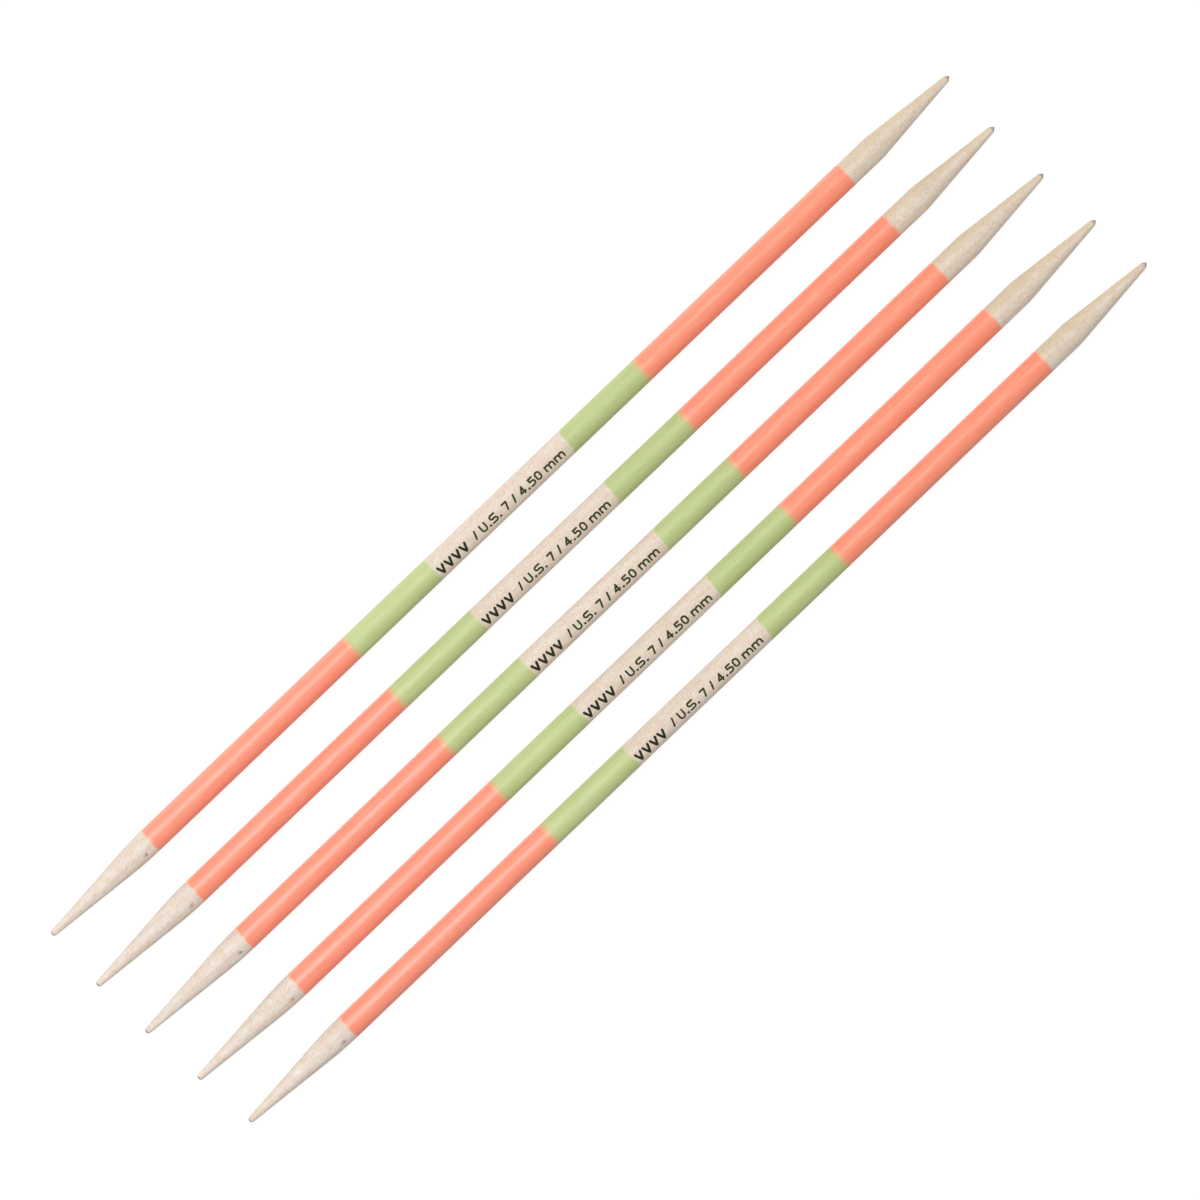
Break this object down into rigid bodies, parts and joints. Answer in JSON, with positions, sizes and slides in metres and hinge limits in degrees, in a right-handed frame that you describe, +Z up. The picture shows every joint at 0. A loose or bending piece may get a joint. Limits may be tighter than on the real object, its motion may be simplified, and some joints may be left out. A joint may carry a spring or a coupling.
{
  "type": "double pointed knitting needles",
  "caption": "Straight wooden knitting needles with a point at each end, banded in coral and green lacquer, for knitting small tubes in the round.",
  "frame": {"origin": "on the surface that the needles lie on, under the middle of the box around the set", "axes": "+X along the needles, towards the sharper points; +Y across the set, from needle 5 to needle 1; +Z up"},
  "size_m": [0.2058, 0.049, 0.0045],
  "materials": {
    "birch_wood": "sanded pale birch under a thin clear seal",
    "coral_lacquer": "satin coral lacquer",
    "green_lacquer": "satin spring-green lacquer",
    "print_ink": "dark green pad-printed ink"
  },
  "bodies": {
    "needle_1": {"needle_1_dowel": "birch_wood", "needle_1_coral_lacquer_left": "coral_lacquer", "needle_1_green_lacquer_left": "green_lacquer", "needle_1_green_lacquer_right": "green_lacquer", "needle_1_coral_lacquer_right": "coral_lacquer", "needle_1_size_print": "print_ink"},
    "needle_2": {"needle_2_dowel": "birch_wood", "needle_2_coral_lacquer_left": "coral_lacquer", "needle_2_green_lacquer_left": "green_lacquer", "needle_2_green_lacquer_right": "green_lacquer", "needle_2_coral_lacquer_right": "coral_lacquer", "needle_2_size_print": "print_ink"},
    "needle_3": {"needle_3_dowel": "birch_wood", "needle_3_coral_lacquer_left": "coral_lacquer", "needle_3_green_lacquer_left": "green_lacquer", "needle_3_green_lacquer_right": "green_lacquer", "needle_3_coral_lacquer_right": "coral_lacquer", "needle_3_size_print": "print_ink"},
    "needle_4": {"needle_4_dowel": "birch_wood", "needle_4_coral_lacquer_left": "coral_lacquer", "needle_4_green_lacquer_left": "green_lacquer", "needle_4_green_lacquer_right": "green_lacquer", "needle_4_coral_lacquer_right": "coral_lacquer", "needle_4_size_print": "print_ink"},
    "needle_5": {"needle_5_dowel": "birch_wood", "needle_5_coral_lacquer_left": "coral_lacquer", "needle_5_green_lacquer_left": "green_lacquer", "needle_5_green_lacquer_right": "green_lacquer", "needle_5_coral_lacquer_right": "coral_lacquer", "needle_5_size_print": "print_ink"}
  },
  "joints": [
    {"name": "needle_1_lift", "type": "slide", "parent": "needle_3", "child": "needle_1", "axis": [0, 0, 1], "range_m": [0, 0.05]},
    {"name": "needle_2_lift", "type": "slide", "parent": "needle_3", "child": "needle_2", "axis": [0, 0, 1], "range_m": [0, 0.05]},
    {"name": "needle_4_lift", "type": "slide", "parent": "needle_3", "child": "needle_4", "axis": [0, 0, 1], "range_m": [0, 0.05]},
    {"name": "needle_5_lift", "type": "slide", "parent": "needle_3", "child": "needle_5", "axis": [0, 0, 1], "range_m": [0, 0.05]}
  ]
}
